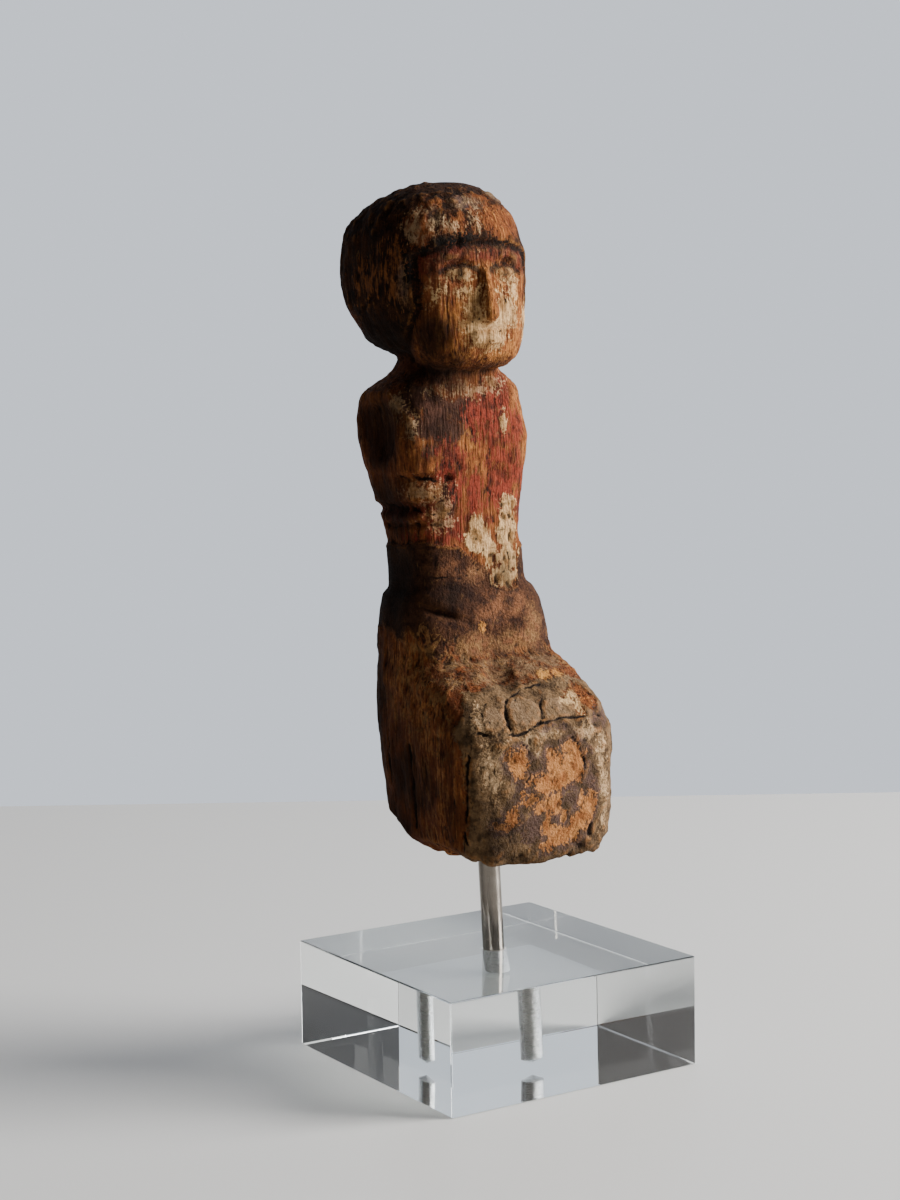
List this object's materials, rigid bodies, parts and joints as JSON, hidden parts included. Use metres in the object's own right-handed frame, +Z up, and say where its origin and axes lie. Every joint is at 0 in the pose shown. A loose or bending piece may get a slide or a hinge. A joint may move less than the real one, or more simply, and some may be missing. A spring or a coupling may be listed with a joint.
{
  "type": "wooden rower figurine on stand",
  "caption": "Weathered painted wooden figurine of a seated rower without arms, carried by a slim steel rod on a clear acrylic block",
  "frame": {"origin": "centre of the acrylic block's underside, where the stand rests on a table", "axes": "+Z up from the table, -Y the side that the figure faces, -X the figure's right hand side"},
  "size_m": [0.0524, 0.0524, 0.1594],
  "materials": {
    "painted_wood": "old carved wood with worn remains of gesso and matte paint",
    "rod_steel": "drawn steel rod, satin",
    "clear_acrylic": "cast clear acrylic with polished faces"
  },
  "bodies": {
    "root": {"rower_figure": "painted_wood", "support_rod": "rod_steel", "base_block": "clear_acrylic"}
  },
  "joints": []
}
